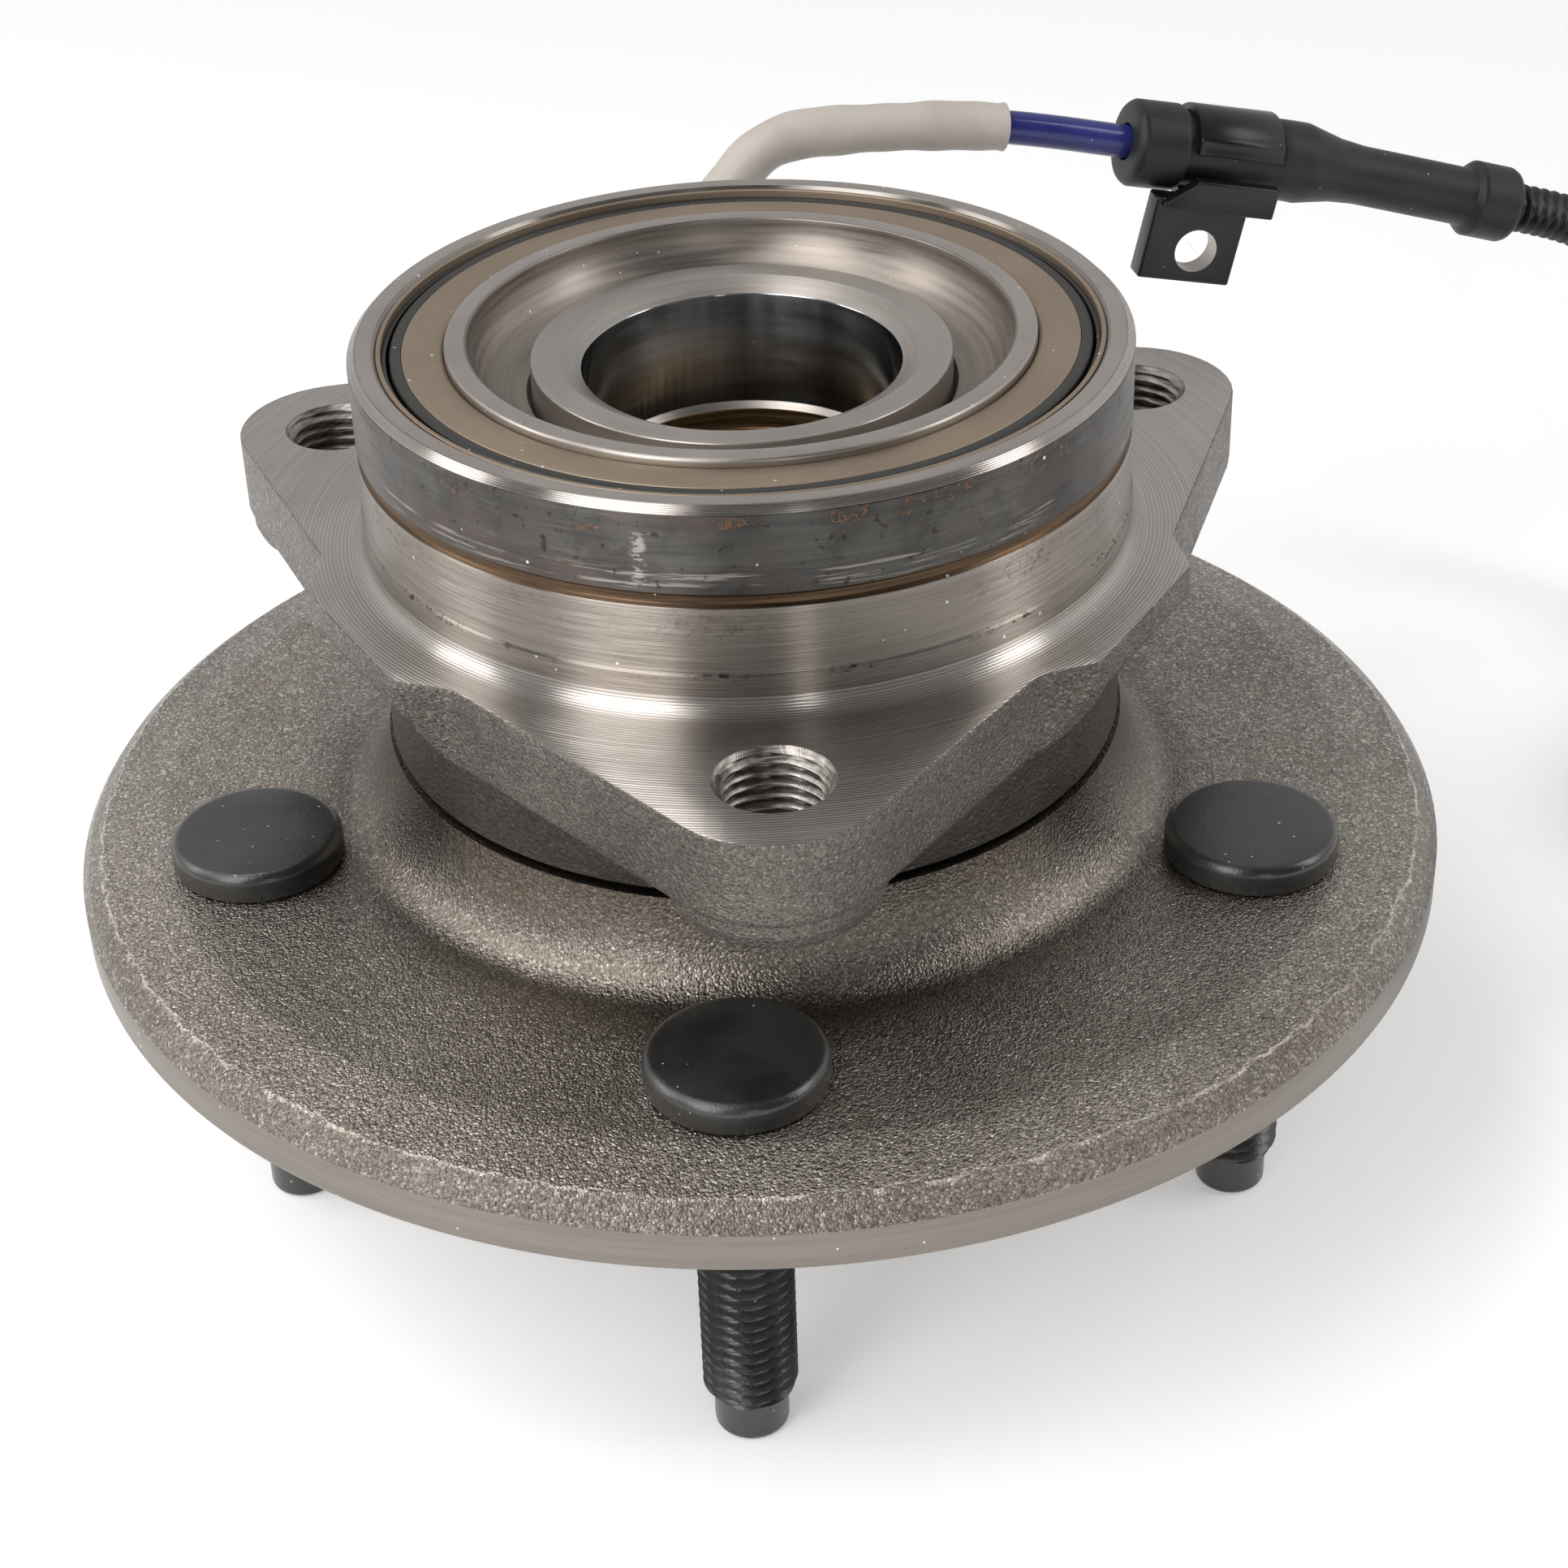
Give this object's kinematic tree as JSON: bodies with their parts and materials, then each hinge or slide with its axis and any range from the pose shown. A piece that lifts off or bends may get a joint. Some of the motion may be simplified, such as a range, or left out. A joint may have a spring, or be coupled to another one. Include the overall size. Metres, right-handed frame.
{
  "type": "wheel hub",
  "caption": "Flanged wheel hub and bearing unit: spindle with wheel studs turning on tapered rollers in a lugged housing, with a speed sensor and its lead.",
  "frame": {"origin": "spin axis at the wheel's mounting face, the centre of the stud circle", "axes": "+Z along the spin axis toward the vehicle (inboard), -Y toward the knuckle lug that the picture shows in front"},
  "size_m": [0.2921, 0.2231, 0.119],
  "materials": {
    "bearing_housing": "forged steel, rough outside, turned seats, one dark oxide band",
    "inboard_seal_case": "pressed sheet steel",
    "inboard_seal_lip": "grey seal rubber",
    "outboard_seal_case": "pressed sheet steel",
    "outboard_seal_lip": "dark seal rubber",
    "speed_sensor": "black glass-filled plastic",
    "sensor_o_ring": "black rubber",
    "sensor_screw": "zinc-plated steel",
    "lead_sleeve": "off-white heat sleeve",
    "sensor_lead": "dark blue jacket",
    "lead_grommet": "black moulded rubber",
    "lead_bracket": "black coated steel",
    "lead_conduit": "black corrugated conduit",
    "lead_coil": "dark blue jacket",
    "lead_tail": "dark blue jacket",
    "lead_connector": "dark moulded plastic",
    "connector_pins": "tinned brass",
    "connector_seal": "brown silicone",
    "wheel_flange": "forged steel, shot-blasted outside, turned rim and bore",
    "wheel_studs": "black phosphate",
    "inboard_ring": "ground bearing steel",
    "outboard_ring": "ground bearing steel",
    "tone_ring": "sintered steel",
    "seal_slinger": "pressed sheet steel, tan tint",
    "slinger_rubber": "grey rubber",
    "inboard_rollers": "ground and honed steel",
    "inboard_cage": "pressed steel, phosphated",
    "outboard_rollers": "ground and honed steel",
    "outboard_cage": "pressed steel, phosphated"
  },
  "bodies": {
    "housing": {"bearing_housing": "bearing_housing", "inboard_seal_case": "inboard_seal_case", "inboard_seal_lip": "inboard_seal_lip", "outboard_seal_case": "outboard_seal_case", "outboard_seal_lip": "outboard_seal_lip", "speed_sensor": "speed_sensor", "sensor_o_ring": "sensor_o_ring", "sensor_screw": "sensor_screw", "lead_sleeve": "lead_sleeve", "sensor_lead": "sensor_lead", "lead_grommet": "lead_grommet", "lead_bracket": "lead_bracket", "lead_conduit": "lead_conduit", "lead_coil": "lead_coil", "lead_tail": "lead_tail", "lead_connector": "lead_connector", "connector_pins": "connector_pins", "connector_seal": "connector_seal"},
    "hub": {"wheel_flange": "wheel_flange", "wheel_studs": "wheel_studs", "inboard_ring": "inboard_ring", "outboard_ring": "outboard_ring", "tone_ring": "tone_ring", "seal_slinger": "seal_slinger", "slinger_rubber": "slinger_rubber"},
    "inboard_set": {"inboard_rollers": "inboard_rollers", "inboard_cage": "inboard_cage"},
    "outboard_set": {"outboard_rollers": "outboard_rollers", "outboard_cage": "outboard_cage"}
  },
  "joints": [
    {"name": "hub_spin", "type": "hinge", "parent": "housing", "child": "hub", "pos_m": [0, 0, 0], "axis": [0, 0, 1], "continuous": true},
    {"name": "inboard_cage_spin", "type": "hinge", "parent": "housing", "child": "inboard_set", "pos_m": [0, 0, 0.049], "axis": [0, 0, 1], "continuous": true},
    {"name": "outboard_cage_spin", "type": "hinge", "parent": "housing", "child": "outboard_set", "pos_m": [0, 0, 0.049], "axis": [0, 0, 1], "continuous": true}
  ],
  "couplings": [
    {"joint": "inboard_cage_spin", "follows": "hub_spin", "ratio": 0.4502},
    {"joint": "outboard_cage_spin", "follows": "hub_spin", "ratio": 0.4502}
  ]
}
